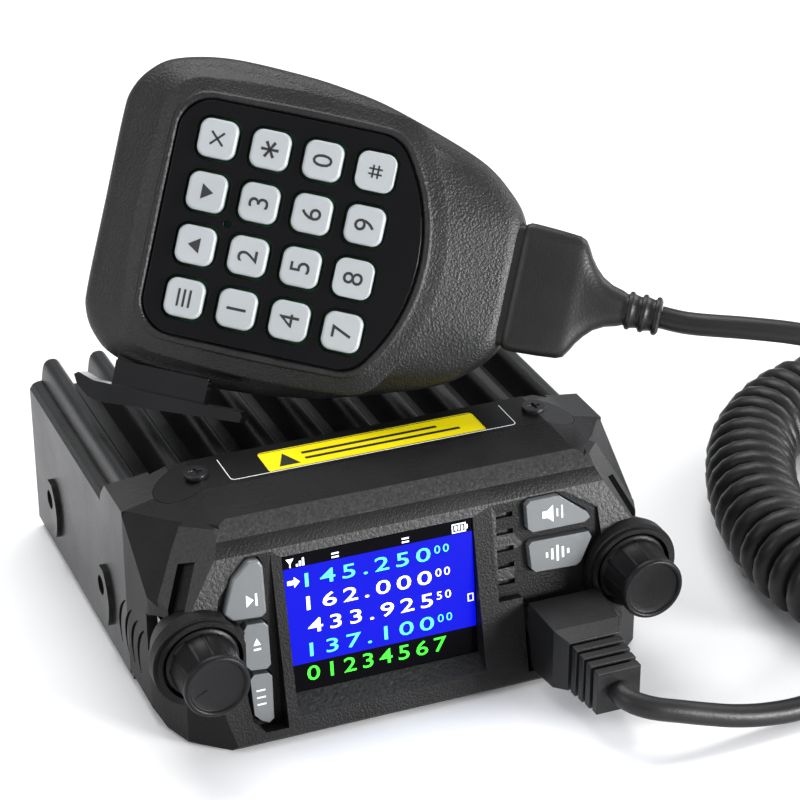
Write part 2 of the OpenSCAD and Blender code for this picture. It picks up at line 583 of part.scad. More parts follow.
// Boot of the microphone: collar in the case, block, funnel and ringed sleeve
module mic_boot() color("#232325") on_mic() translate([0, 0, boot_w]) {
    box([41, -11.8, -5], [46, 11.8, 5]);
    hull() {
        box([46, -12.4, -5.6], [47, 12.4, 5.6]);
        box([56, -11.8, -5.2], [57.4, 11.8, 5.2]);
    }
    translate([57.3, 0, 0]) rotate([0, 90, 0]) rotate_extrude() polygon([[0, 0], [5, 0],
        for (i = [0:6]) [3.3 + 1.7 * pow(1 - i / 6, 2), i * 1.6], [3.3, lead_u - 57.3], [0, lead_u - 57.3]]);
    hull() {
        box([57.2, -10.6, -4.6], [57.5, 10.6, 4.6]);
        translate([62.5, 0, 0]) rotate([0, 90, 0]) cylinder(r = 3.6, h = 0.4, $fn = 32);
    }
    for (u = ring_u) translate([u, 0, 0]) rotate([0, 90, 0]) cylinder(r = 3.7, h = 1.2);
}

// ---- cord ----
// Turns an offset of the microphone's own frame into a direction of the whole object's frame
function rot_x(a, p) = [p[0], cos(a) * p[1] - sin(a) * p[2], sin(a) * p[1] + cos(a) * p[2]];
function rot_y(a, p) = [cos(a) * p[0] + sin(a) * p[2], p[1], -sin(a) * p[0] + cos(a) * p[2]];
function rot_z(a, p) = [cos(a) * p[0] - sin(a) * p[1], sin(a) * p[0] + cos(a) * p[1], p[2]];
function mic_point(p) = mic_centre + rot_z(mic_angles[2], rot_y(mic_angles[1], rot_x(mic_angles[0], p)));
function unit(v) = v / norm(v);
// Rings of a tube along a route, each square to the route's direction
function tangent(r, i) = unit(r[min(i + 1, len(r) - 1)] - r[max(i - 1, 0)]);
function ring_points(c, t, rad, n) = let (a = unit(cross(t, [0, 0, 1])), b = cross(a, t))
    [for (k = [0:n - 1]) c + rad * (cos(360 * k / n) * a + sin(360 * k / n) * b)];
module tube(route, d, sides) {
    count = len(route);
    polyhedron(
        points = [for (i = [0:count - 1]) each ring_points(route[i], tangent(route, i), d / 2, sides)],
        faces = concat(
            [[for (k = [sides - 1:-1:0]) k]],
            [for (i = [0:count - 2], k = [0:sides - 1]) [i * sides + k, i * sides + (k + 1) % sides,
                (i + 1) * sides + (k + 1) % sides, (i + 1) * sides + k]],
            [[for (k = [0:sides - 1]) (count - 1) * sides + k]]));
}
// Points on smooth curves through the hand-placed route points
function spline(p, i, t) = let (a = p[max(i - 1, 0)], b = p[i], c = p[i + 1], d = p[min(i + 2, len(p) - 1)])
    0.5 * (2 * b + (c - a) * t + (2 * a - 5 * b + 4 * c - d) * t * t + (3 * b - a - 3 * c + d) * t * t * t);
function smooth(p, steps) = concat([for (i = [0:len(p) - 2], s = [0:steps - 1]) spline(p, i, s / steps)], [p[len(p) - 1]]);
curl_z = curl_d / 2 + 0.05;
plug_route = [[28.2, -68.6, 9.6], [28.2, -70.8, 9.5], [29.6, -73, 9.1], [32.4, -74.7, 8.4], [36.8, -75.7, 7.3],
    [42, -76.4, 5.8], [48, -77, 4.2], [54.6, -77.2, 3], [62, -77, 2.4], [70, -75.4, 2.3], [78, -71, 2.3],
    [83, -65.4, 2.3], [84.9, -61.6, 2.3], [85.2, -59, 2.3]];
curl_route = [[84.4, -58.6], [82, -48], [81.4, -38], [82.6, -28], [85.6, -17], [90.4, -6], [97, 4.6], [106, 13.2],
    [117, 19], [129, 20], [141, 16.4], [150, 8], [155, -4], [156, -18], [154, -31]];
mic_route_free = [[71, -33.8, 59.4], [79, -38.4, 58.8], [87, -42.6, 57], [96, -47, 53.4], [105, -51, 47.6],
    [114, -54.6, 41], [123, -57.6, 34.4], [132, -59, 28.4], [140.6, -57.6, 23.4], [147.6, -52, 19.6],
    [152, -44, 17.3], [153.8, -36.6, 16.5], [154, -31.7, 16.4]];
module plug_lead() color("#1d1d1f") tube(smooth(plug_route, 2), cord_d, 10);
module curly_cord() color("#1d1d1f") tube(smooth([for (p = curl_route) [p[0], p[1], curl_z]], 2), curl_d, 12);
module mic_lead() color("#1d1d1f")
    tube(smooth(concat([mic_point([lead_u + 0.1, 0, boot_w]), mic_point([lead_u + 6, 0, boot_w])],
        mic_route_free), 2), cord_d, 10);

heatsink_chassis();
bottom_cover();
front_bezel();
top_trim_plate();
caution_label();
trim_screws();
cover_screws();
display_window();
display_module();
front_circuit_board();
main_circuit_board();
speaker();
fan_frame();
fan_rotor();
antenna_socket();
antenna_insulator();
power_grommet();
speaker_jack();
mic_jack();
vm_button();
call_button();
exit_button();
moni_button();
fm_button();
volume_knob();
channel_knob();
volume_pot();
channel_encoder();
mic_front_shell();
mic_rear_shell();
keypad_panel();
ptt_lever();
mic_boot();
mic_circuit_board();
mic_capsule();
mic_hanger_stud();
mic_screws();
modular_plug();
plug_boot();
plug_lead();
curly_cord();
mic_lead();
for (row = [0:3], col = [0:3])
    key_cap(row, col);
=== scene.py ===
import math
import bmesh
import bpy
import numpy as np
from mathutils import Matrix, Vector


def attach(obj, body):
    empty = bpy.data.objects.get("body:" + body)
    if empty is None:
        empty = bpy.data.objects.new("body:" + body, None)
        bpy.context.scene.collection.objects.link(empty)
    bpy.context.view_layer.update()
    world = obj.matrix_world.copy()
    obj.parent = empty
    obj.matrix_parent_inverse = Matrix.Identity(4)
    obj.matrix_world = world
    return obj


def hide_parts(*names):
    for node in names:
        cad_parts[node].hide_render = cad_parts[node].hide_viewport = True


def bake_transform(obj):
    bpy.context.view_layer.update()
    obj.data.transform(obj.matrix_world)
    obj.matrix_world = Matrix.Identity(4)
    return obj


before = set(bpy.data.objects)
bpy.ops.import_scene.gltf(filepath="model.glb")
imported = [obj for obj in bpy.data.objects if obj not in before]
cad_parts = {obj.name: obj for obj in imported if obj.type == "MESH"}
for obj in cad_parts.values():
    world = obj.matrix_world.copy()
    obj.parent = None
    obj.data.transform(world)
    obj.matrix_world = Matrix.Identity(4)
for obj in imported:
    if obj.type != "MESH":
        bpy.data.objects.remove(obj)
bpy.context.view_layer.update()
scene = bpy.context.scene
MM = 0.001
scene.view_settings.view_transform = "Standard"

# ---------------------------------------------------------------- camera
RIGHT = Vector((0.92472, -0.38065, -0.00248))
UP = Vector((0.1762, 0.42227, 0.88918))
LOOK = Vector((0.33742, 0.82268, -0.45755))
camera = bpy.data.objects.new("camera", bpy.data.cameras.new("camera"))
scene.collection.objects.link(camera)
scene.camera = camera
camera.data.sensor_width = 36
camera.data.lens = 117
camera.data.clip_start = 0.01
camera.data.clip_end = 20
turn = Matrix((RIGHT, UP, -LOOK)).transposed()
camera.matrix_world = Matrix.Translation((-0.15906, -0.42036, 0.27324)) @ turn.to_4x4()


# ---------------------------------------------------------------- helpers
def link(name, mesh):
    obj = bpy.data.objects.new(name, mesh)
    scene.collection.objects.link(obj)
    return obj


def smooth_shade(mesh, angle):
    for p in mesh.polygons:
        p.use_smooth = True
    mesh.set_sharp_from_angle(angle=math.radians(angle))


def make(name, verts, faces, body, material, angle=35):
    """A mesh piece from points in millimetres, riding on a body."""
    mesh = bpy.data.meshes.new(name)
    mesh.from_pydata([[c * MM for c in v] for v in verts], [], faces)
    mesh.validate()
    bm = bmesh.new()
    bm.from_mesh(mesh)
    bmesh.ops.recalc_face_normals(bm, faces=bm.faces)
    bm.to_mesh(mesh)
    bm.free()
    smooth_shade(mesh, angle)
    obj = link(name, mesh)
    mesh.materials.append(material)
    if body:
        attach(obj, body)
    return obj


def bake_modifiers(obj):
    """Apply an object's modifiers to its mesh."""
    graph = bpy.context.evaluated_depsgraph_get()
    mesh = bpy.data.meshes.new_from_object(obj.evaluated_get(graph))
    obj.modifiers.clear()
    obj.data = mesh


WELD = 2e-6         # points of a CAD mesh closer than this, in metres, are one
FLAT_ANGLE = 1.0    # faces within this angle, in degrees, become one
BEVEL_ANGLE = 28
SHARP_ANGLE = 48


def softened(node, name, body, material, width=0.4, segments=3):
    """A copy of a CAD node with its edges rounded, shown instead of it."""
    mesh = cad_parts[node].data.copy()
    mesh.name = name
    mesh.materials.clear()
    bm = bmesh.new()
    bm.from_mesh(mesh)
    bmesh.ops.remove_doubles(bm, verts=bm.verts, dist=WELD)
    bmesh.ops.dissolve_limit(bm, angle_limit=math.radians(FLAT_ANGLE), verts=bm.verts, edges=bm.edges)
    bm.to_mesh(mesh)
    bm.free()
    mesh.materials.append(material)
    obj = link(name, mesh)
    if mesh.has_custom_normals:
        bpy.context.view_layer.objects.active = obj
        obj.select_set(True)
        bpy.ops.mesh.customdata_custom_splitnormals_clear()
        obj.select_set(False)
    if width:
        bevel = obj.modifiers.new("bevel", "BEVEL")
        bevel.width = width * MM
        bevel.segments = segments
        bevel.limit_method = "ANGLE"
        bevel.angle_limit = math.radians(BEVEL_ANGLE)
        bevel.use_clamp_overlap = True
        bevel.harden_normals = False
        bake_modifiers(obj)
    smooth_shade(obj.data, SHARP_ANGLE)
    if width:
        obj.modifiers.new("even_normals", "WEIGHTED_NORMAL").keep_sharp = True
        bake_modifiers(obj)
    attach(obj, body)
    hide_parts(node)
    return obj


def catmull(points, steps, closed=False):
    """A smooth curve through the points, with so many steps from each to the next."""
    pts = [np.array(p, float) for p in points]
    n = len(pts)
    out = []
    spans = n if closed else n - 1
    for i in range(spans):
        if closed:
            a, b, c, d = pts[(i - 1) % n], pts[i], pts[(i + 1) % n], pts[(i + 2) % n]
        else:
            a, b, c, d = pts[max(i - 1, 0)], pts[i], pts[i + 1], pts[min(i + 2, n - 1)]
        for s in range(steps):
            t = s / steps
            out.append(0.5 * (2 * b + (c - a) * t + (2 * a - 5 * b + 4 * c - d) * t * t
                              + (3 * b - a - 3 * c + d) * t ** 3))
    if not closed:
        out.append(pts[-1])
    return out


def resample(points, step):
    """The same path in even steps."""
    pts = np.array(points, float)
    seg = np.linalg.norm(np.diff(pts, axis=0), axis=1)
    s = np.concatenate([[0], np.cumsum(seg)])
    n = max(int(s[-1] / step), 2)
    t = np.linspace(0, s[-1], n + 1)
    return np.stack([np.interp(t, s, pts[:, k]) for k in range(3)], axis=1)


def tube(points, radius, sides):
    """Vertices and faces of a tube of round section along points, without twist."""
    pts = np.array(points, float)
    tang = np.gradient(pts, axis=0)
    tang /= np.linalg.norm(tang, axis=1)[:, None]
    ref = np.cross(tang[0], [0, 0, 1.0])
    if np.linalg.norm(ref) < 1e-3:
        ref = np.array([1.0, 0, 0])
    ref /= np.linalg.norm(ref)
    verts, faces = [], []
    for p, t in zip(pts, tang):
        ref = ref - t * ref.dot(t)
        ref /= np.linalg.norm(ref)
        side = np.cross(t, ref)
        for k in range(sides):
            a = 2 * math.pi * k / sides
            verts.append(p + radius * (math.cos(a) * ref + math.sin(a) * side))
    for i in range(len(pts) - 1):
        for k in range(sides):
            a, b = i * sides + k, i * sides + (k + 1) % sides
            faces.append((a, b, b + sides, a + sides))
    faces.append(tuple(range(sides))[::-1])
    faces.append(tuple(range((len(pts) - 1) * sides, len(pts) * sides)))
    return verts, faces


def loft(rings, close_first=False, close_last=False):
    """Faces between rings that all have the same number of points."""
    n = len(rings[0])
    verts = [v for r in rings for v in r]
    faces = []
    for i in range(len(rings) - 1):
        for k in range(n):
            a, b = i * n + k, i * n + (k + 1) % n
            faces.append((a, b, b + n, a + n))
    if close_first:
        faces.append(tuple(range(n))[::-1])
    if close_last:
        faces.append(tuple(range((len(rings) - 1) * n, len(rings) * n)))
    return verts, faces


# ---------------------------------------------------------------- materials
def material(name, color, rough, metallic=0.0, grain=None, grain_bump=0.1, mottle=0.12, mottle_scale=90,
             rough_spread=0.1, coat=0.0, specular=0.5, emission=None, alpha=1.0, ior=1.5):
    """Principled material with colour mottling, uneven roughness and a fine moulded or painted grain."""
    m = bpy.data.materials.new(name)
    m.use_nodes = True
    nodes, links = m.node_tree.nodes, m.node_tree.links
    bsdf = nodes["Principled BSDF"]
    bsdf.inputs["Metallic"].default_value = metallic
    bsdf.inputs["Coat Weight"].default_value = coat
    bsdf.inputs["Coat Roughness"].default_value = 0.12
    bsdf.inputs["Specular IOR Level"].default_value = specular
    bsdf.inputs["IOR"].default_value = ior
    bsdf.inputs["Alpha"].default_value = alpha
    coords = nodes.new("ShaderNodeTexCoord")
    blotch = nodes.new("ShaderNodeTexNoise")
    blotch.inputs["Scale"].default_value = mottle_scale
    blotch.inputs["Detail"].default_value = 5
    links.new(coords.outputs["Object"], blotch.inputs["Vector"])
    ramp = nodes.new("ShaderNodeValToRGB")
    lo = [c * (1 - mottle) for c in color]
    hi = [min(c * (1 + mottle) + 0.002 * mottle, 1) for c in color]
    ramp.color_ramp.elements[0].position = 0.3
    ramp.color_ramp.elements[1].position = 0.7
    ramp.color_ramp.elements[0].color = (*lo, 1)
    ramp.color_ramp.elements[1].color = (*hi, 1)
    links.new(blotch.outputs["Fac"], ramp.inputs["Fac"])
    links.new(ramp.outputs["Color"], bsdf.inputs["Base Color"])
    rmap = nodes.new("ShaderNodeMapRange")
    rmap.inputs["To Min"].default_value = max(rough - rough_spread, 0.02)
    rmap.inputs["To Max"].default_value = min(rough + rough_spread, 1)
    links.new(blotch.outputs["Fac"], rmap.inputs["Value"])
    links.new(rmap.outputs["Result"], bsdf.inputs["Roughness"])
    if grain:
        fine = nodes.new("ShaderNodeTexNoise")
        fine.inputs["Scale"].default_value = grain
        fine.inputs["Detail"].default_value = 3
        links.new(coords.outputs["Object"], fine.inputs["Vector"])
        bump = nodes.new("ShaderNodeBump")
        bump.inputs["Strength"].default_value = grain_bump
        bump.inputs["Distance"].default_value = 0.0002
        links.new(fine.outputs["Fac"], bump.inputs["Height"])
        links.new(bump.outputs["Normal"], bsdf.inputs["Normal"])
    if emission:
        bsdf.inputs["Emission Color"].default_value = (*emission[0], 1)
        bsdf.inputs["Emission Strength"].default_value = emission[1]
    return m


PLASTIC = material("moulded_plastic", (0.007, 0.007, 0.0075), 0.45, grain=2300, grain_bump=0.6, mottle=0.3,
                   specular=0.2, ior=1.4)
COARSE = material("spark_eroded_plastic", (0.013, 0.013, 0.0135), 0.5, grain=1500, grain_bump=1.0,
                  mottle=0.5, mottle_scale=1500, specular=0.38)
SHELL = material("microphone_shell", (0.007, 0.007, 0.0075), 0.42, grain=2100, grain_bump=1.0, mottle=0.3,
                 specular=0.36)
SATIN = material("satin_plastic", (0.006, 0.006, 0.0065), 0.36, grain=3000, grain_bump=0.2, mottle=0.2,
                 specular=0.22, ior=1.4)
GLOSS = material("gloss_panel", (0.0025, 0.0025, 0.003), 0.2, grain=2500, grain_bump=0.01, mottle=0.1,
                 rough_spread=0.02, specular=0.22)
LEVER = material("lever_plastic", (0.004, 0.004, 0.0045), 0.18, grain=2500, grain_bump=0.04, mottle=0.2)
CAST = material("painted_casting", (0.006, 0.006, 0.0065), 0.34, grain=1800, grain_bump=0.35, mottle=0.3,
                specular=0.42)
RUBBER = material("cord_jacket", (0.008, 0.008, 0.0085), 0.42, grain=2000, grain_bump=0.3, mottle=0.2,
                  specular=0.3)
KEY = material("silicone_key", (0.335, 0.352, 0.365), 0.42, grain=2500, grain_bump=0.06, mottle=0.03)
BUTTON = material("button_plastic", (0.105, 0.112, 0.116), 0.3, grain=2500, grain_bump=0.06, mottle=0.06,
                  coat=0.25)
INK = material("key_ink", (0.012, 0.012, 0.013), 0.5, grain=2500, grain_bump=0.05)
WHITE_INK = material("white_ink", (0.8, 0.81, 0.82), 0.45, grain=2500, grain_bump=0.05, mottle=0.03)
LABEL = material("label_vinyl", (0.93, 0.78, 0.0), 0.35, grain=700, grain_bump=0.05, mottle=0.04)
LABEL_INK = material("label_ink", (0.015, 0.014, 0.01), 0.4, grain=700, grain_bump=0.05)
STEEL = material("black_steel", (0.035, 0.035, 0.037), 0.3, metallic=0.8, grain=1500, grain_bump=0.1)
NICKEL = material("nickel_plating", (0.62, 0.61, 0.58), 0.22, metallic=1.0, grain=900, grain_bump=0.05,
                  mottle=0.06)
PTFE = material("white_insulator", (0.78, 0.77, 0.72), 0.4, grain=900, grain_bump=0.06, mottle=0.03)
BOARD = material("circuit_board", (0.02, 0.12, 0.05), 0.35, grain=900, grain_bump=0.12, mottle=0.15)
CLEAR = material("clear_plug", (0.75, 0.8, 0.82), 0.12, grain=400, grain_bump=0.02, mottle=0.02, alpha=0.6)
LENS = material("display_lens", (0.002, 0.002, 0.003), 0.15, grain=2500, grain_bump=0.005, mottle=0.05,
                rough_spread=0.02, specular=0.05, ior=1.3)


def screen_material():
    """Lit display: a blue field with faint pixel rows."""
    m = bpy.data.materials.new("lit_screen")
    m.use_nodes = True
    nodes, links = m.node_tree.nodes, m.node_tree.links
    bsdf = nodes["Principled BSDF"]
    bsdf.inputs["Roughness"].default_value = 0.3
    bsdf.inputs["Specular IOR Level"].default_value = 0.1
    coords = nodes.new("ShaderNodeTexCoord")
    wave = nodes.new("ShaderNodeTexWave")
    wave.bands_direction = "Z"
    wave.inputs["Scale"].default_value = 1400
    links.new(coords.outputs["Object"], wave.inputs["Vector"])
    ramp = nodes.new("ShaderNodeValToRGB")
    ramp.color_ramp.elements[0].color = (0.0, 0.002, 0.72, 1)
    ramp.color_ramp.elements[1].color = (0.001, 0.006, 0.92, 1)
    links.new(wave.outputs["Fac"], ramp.inputs["Fac"])
    bsdf.inputs["Base Color"].default_value = (0.0, 0.0, 0.02, 1)
    links.new(ramp.outputs["Color"], bsdf.inputs["Emission Color"])
    bsdf.inputs["Emission Strength"].default_value = 1.0
    return m


SCREEN = screen_material()
GLOW_COLORS = {"white": (0.72, 0.76, 0.86), "green": (0.05, 0.5, 0.27), "cyan": (0.05, 0.47, 0.36),
               "lime": (0.02, 0.62, 0.01)}
GLOW = {n: material("glow_" + n, c, 0.4, emission=(c, 1.0), mottle=0.03, grain=900, grain_bump=0.02)
        for n, c in GLOW_COLORS.items()}

# ---------------------------------------------------------------- cord
CORD_D = 4.4
CORD_SIDES = 12
CURL_D = 19.2
CURL_Z = CURL_D / 2 + 0.05
CURL_PITCH = 4.75
TURN_POINTS = 18    # points on each turn of the curl
CURL_SKIP = 5       # points left out at each end of the curl, where the lead joins it
LEAD_STEP = 1.1
LEAST_STEP = 0.4
MIC_AT = Vector((-8.1, 7.4, 75.3))
MIC_TURN = (Matrix.Rotation(math.radians(-32.9), 3, "Z") @ Matrix.Rotation(math.radians(8.5), 3, "Y")
            @ Matrix.Rotation(math.radians(63.6), 3, "X"))
BOOT_W = -9.4
LEAD_U = 73.4


def on_mic(u, v, w):
    """A point of the microphone: u along it, v across it, w out of its face."""
    return tuple(MIC_AT + MIC_TURN @ Vector((u, v, w)))


plug_route = [(28.2, -68.6, 9.6), (28.2, -70.8, 9.5), (29.6, -73, 9.1), (32.4, -74.7, 8.4),
              (36.8, -75.7, 7.3), (42, -76.4, 5.8), (48, -77, 4.2), (54.6, -77.2, 3), (62, -77, 2.4),
              (70, -75.4, 2.3), (78, -71, 2.3), (83, -65.4, 2.3), (84.9, -61.6, 2.3)]
curl_route = [(84.4, -58.6), (82, -48), (81.4, -38), (82.6, -28), (85.6, -17), (90.4, -6), (97, 4.6),
              (106, 13.2), (117, 19), (129, 20), (141, 16.4), (150, 8), (155, -4), (156, -18), (154, -31)]
mic_route = [on_mic(LEAD_U + 0.1, 0, BOOT_W), on_mic(LEAD_U + 6, 0, BOOT_W), (71, -33.8, 59.4),
             (79, -38.4, 58.8), (87, -42.6, 57), (96, -47, 53.4), (105, -51, 47.6), (114, -54.6, 41),
             (123, -57.6, 34.4), (132, -59, 28.4), (140.6, -57.6, 23.4), (147.6, -52, 19.6),
             (152, -44, 17.3), (153.6, -37.6, 16.5)]

axis = resample(catmull([(x, y, CURL_Z) for x, y in curl_route], 8), 0.3)
tang = np.gradient(axis, axis=0)
tang /= np.linalg.norm(tang, axis=1)[:, None]
flat = np.cross(tang, [0, 0, 1.0])
length_along = np.concatenate([[0], np.cumsum(np.linalg.norm(np.diff(axis, axis=0), axis=1))])
helix_r = CURL_D / 2 - CORD_D / 2
turns = int(length_along[-1] / CURL_PITCH) - 0.5
phase = -math.pi / 2 + length_along / length_along[-1] * turns * 2 * math.pi
sample = np.linspace(0, 1, int(turns * TURN_POINTS)) * length_along[-1]
centre = np.stack([np.interp(sample, length_along, axis[:, k]) for k in range(3)], axis=1)
across = np.stack([np.interp(sample, length_along, flat[:, k]) for k in range(3)], axis=1)
angle = np.interp(sample, length_along, phase)
helix = centre + helix_r * (np.cos(angle)[:, None] * across + np.sin(angle)[:, None] * np.array([0, 0, 1.0]))
skip = CURL_SKIP
lead_in = catmull(plug_route + [tuple(helix[skip]), tuple(helix[skip + 1])], 6)[:-1]
lead_out = catmull([tuple(helix[-skip - 2]), tuple(helix[-skip - 1])] + mic_route[::-1], 6)[1:]
lead_in = resample(lead_in[:-6], LEAD_STEP)
lead_out = resample(lead_out[5:], LEAD_STEP)
cord_path = np.concatenate([lead_in, helix[skip + 1:-skip - 1], lead_out])
keep = [0]
for i in range(1, len(cord_path)):
    if np.linalg.norm(cord_path[i] - cord_path[keep[-1]]) > LEAST_STEP:
        keep.append(i)
cord_path = cord_path[keep]
verts, faces = tube(cord_path, CORD_D / 2, CORD_SIDES)
cord = make("microphone_cord", verts, faces, None, RUBBER, angle=60)
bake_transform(cord)
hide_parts("plug_lead", "curly_cord", "mic_lead")


# ---------------------------------------------------------------- microphone
MIC_HALF = [(-36, 0), (-36, 16.5), (-35.4, 21.6), (-32.8, 26), (-28, 29.4), (-18, 31.4), (-4, 31.2),
            (6, 30.2), (16, 28.2), (33.2, 22.4), (40.6, 17.4), (44.4, 12.6), (45.2, 7), (45.2, 0)]
PANEL_CORNER = 6.5
PANEL_ARC_R = 34.0
PANEL_ARC_U = -7.2
PANEL_HALF = 22.6
PANEL_LEFT = -23.4


def closed_outline(half, count):
    """Evenly spaced points round a half outline and its mirror image."""
    pts = [np.array([u, v, 0.0]) for u, v in half] + [np.array([u, -v, 0.0]) for u, v in half[-2:0:-1]]
    ring = catmull(pts, 12, closed=True)
    ring.append(ring[0])
    return resample(ring, np.linalg.norm(np.diff(np.array(ring), axis=0), axis=1).sum() / count)[:-1]


def convex_panel():
    """The keypad panel's outline drawn in by its corner radius."""
    r, half, pts = PANEL_ARC_R - PANEL_CORNER, PANEL_HALF - PANEL_CORNER, []
    corner = PANEL_ARC_U + math.sqrt(r * r - half ** 2)
    for k in range(-60, 61):
        a = math.radians(k)
        x, y = PANEL_ARC_U + r * math.cos(a), r * math.sin(a)
        if abs(y) < half:
            pts.append((x, y))
    left = PANEL_LEFT + PANEL_CORNER
    return [(left, -half), (corner, -half)] + pts + [(corner, half), (left, half)]


PANEL = np.array(convex_panel())


def panel_distance(p):
    """Distance from the drawn-in outline, below zero inside it."""
    a, b = PANEL, np.roll(PANEL, -1, axis=0)
    ab, ap = b - a, p - a
    t = np.clip((ap * ab).sum(1) / (ab * ab).sum(1), 0, 1)
    d = np.linalg.norm(ap - ab * t[:, None], axis=1).min()
    cross = ab[:, 0] * ap[:, 1] - ab[:, 1] * ap[:, 0]
    return -d if (cross > 0).all() else d


def panel_point(direction):
    """Where a ray from the middle of the face crosses the panel's edge."""
    lo, hi = 5.0, 45.0
    for _ in range(26):
        mid = (lo + hi) / 2
        if panel_distance(direction * mid) < PANEL_CORNER:
            lo = mid
        else:
            hi = mid
    return direction * lo


RING_POINTS = 240
outer = closed_outline(MIC_HALF, RING_POINTS)[:, :2]
inner = np.array([panel_point(o / np.linalg.norm(o)) for o in outer])
inward = inner - outer
inward /= np.linalg.norm(inward, axis=1)[:, None]
along = np.roll(outer, -1, axis=0) - np.roll(outer, 1, axis=0)
along /= np.linalg.norm(along, axis=1)[:, None]
square_in = np.stack([along[:, 1], -along[:, 0]], axis=1)
square_in *= np.sign((square_in * inward).sum(1))[:, None]


def ring_at(points, w):
    return [on_mic(u, v, w) for u, v in points]


def outer_ring(inset, w):
    return ring_at(outer + square_in * inset, w)


def inner_ring(away, w):
    return ring_at(inner - inward * away, w)


front_rings = [outer_ring(1.6, -9.0), outer_ring(0.35, -9.0), outer_ring(0.0, -8.7),
               outer_ring(0.0, -7.4), outer_ring(0.12, -6.4), outer_ring(0.5, -5.5),
               outer_ring(1.2, -4.7), outer_ring(2.1, -4.0), outer_ring(3.0, -3.45),
               inner_ring(5.4, -1.35), inner_ring(5.1, -1.15), inner_ring(4.85, -1.06),
               inner_ring(3.4, -0.62), inner_ring(2.1, -0.3), inner_ring(1.9, -0.2),
               inner_ring(1.75, 0.02), inner_ring(1.6, 0.12), inner_ring(1.3, 0.15),
               inner_ring(0.95, 0.08), inner_ring(0.6, -0.15), inner_ring(0.35, -0.5),
               inner_ring(0.25, -1.0), inner_ring(0.1, -1.35), inner_ring(-1.6, -1.5)]
verts, faces = loft(front_rings)
front_shell = make("mic_front_cover", verts, faces, "microphone", SHELL, angle=55)
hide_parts("mic_front_shell")
rear_rings = [outer_ring(1.6, -9.05), outer_ring(0.35, -9.05), outer_ring(0.02, -9.35),
              outer_ring(0.0, -12), outer_ring(0.1, -15), outer_ring(0.4, -18), outer_ring(1.0, -20.5),
              outer_ring(2.0, -22.8), outer_ring(3.4, -24.6), outer_ring(5.2, -26.0),
              outer_ring(7.4, -26.8), outer_ring(10.0, -27.0)]
verts, faces = loft(rear_rings, close_last=True)
rear_shell = make("mic_rear_cover", verts, faces, "microphone", SHELL, angle=55)
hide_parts("mic_rear_shell")
softened("keypad_panel", "keypad_face", "microphone", GLOSS, width=0.22, segments=2)
softened("mic_screws", "mic_case_screws", "microphone", STEEL, width=0.15, segments=2)
softened("mic_hanger_stud", "hanger_button", "microphone", NICKEL, width=0.5, segments=3)
softened("ptt_lever", "ptt_bar", "ptt", LEVER, width=0.6, segments=3)


def rounded_section(u, half_v, half_w, power, count=64):
    """A section of the boot: between an oval and a box, by its power."""
    pts = []
    for k in range(count):
        a = 2 * math.pi * k / count
        c, s = math.cos(a), math.sin(a)
        pts.append(on_mic(u, half_v * math.copysign(abs(c) ** (2 / power), c),
                          BOOT_W + half_w * math.copysign(abs(s) ** (2 / power), s)))
    return pts


boot_sections = [(41.0, 11.6, 4.8, 8), (45.0, 11.8, 5.0, 8), (45.2, 12.0, 5.2, 8), (46.0, 12.4, 5.6, 8),
                 (47.0, 12.45, 5.6, 7), (52.0, 12.2, 5.5, 6.5), (55.6, 11.9, 5.3, 6), (56.8, 11.4, 5.0, 5.5),
                 (57.6, 10.2, 4.7, 5), (58.6, 8.4, 4.4, 4.2), (59.8, 6.8, 4.1, 3.4), (61.4, 5.2, 3.8, 2.8),
                 (63.4, 4.1, 3.5, 2.4), (65.6, 3.5, 3.3, 2.1)]
for ring_u in (67.0, 69.6, 72.2):
    boot_sections += [(ring_u - 0.35, 3.05, 3.05, 2), (ring_u - 0.1, 3.15, 3.15, 2),
                      (ring_u + 0.1, 3.6, 3.6, 2), (ring_u + 0.45, 3.72, 3.72, 2),
                      (ring_u + 0.8, 3.68, 3.68, 2), (ring_u + 1.1, 3.3, 3.3, 2)]
boot_sections += [(73.5, 2.9, 2.9, 2), (73.5, 2.3, 2.3, 2)]
verts, faces = loft([rounded_section(*s) for s in boot_sections], close_first=True, close_last=True)
boot = make("mic_cord_boot", verts, faces, "microphone", RUBBER, angle=42)
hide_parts("mic_boot")

# keys and their printed signs
KEY_NAMES = [["exit", "star", "0", "hash"], ["down", "3", "6", "9"], ["up", "2", "5", "8"],
             ["menu", "1", "4", "7"]]
KEY_PITCH = 10.3
KEY_TOP = 1.1
KEY_DIGIT = 5.5


def flat_sign(name, shapes, place, body, ink, thick=0.03):
    """Thin printed shapes: lists of outline points, put on a surface by place(x, y, height)."""
    verts, faces = [], []
    for shape in shapes:
        n, base = len(shape), len(verts)
        verts += [place(x, y, thick) for x, y in shape] + [place(x, y, 0.0) for x, y in shape]
        faces.append(tuple(range(base, base + n)))
        for k in range(n):
            faces.append((base + k, base + n + k, base + n + (k + 1) % n, base + (k + 1) % n))
    return make(name, verts, faces, body, ink, angle=30)


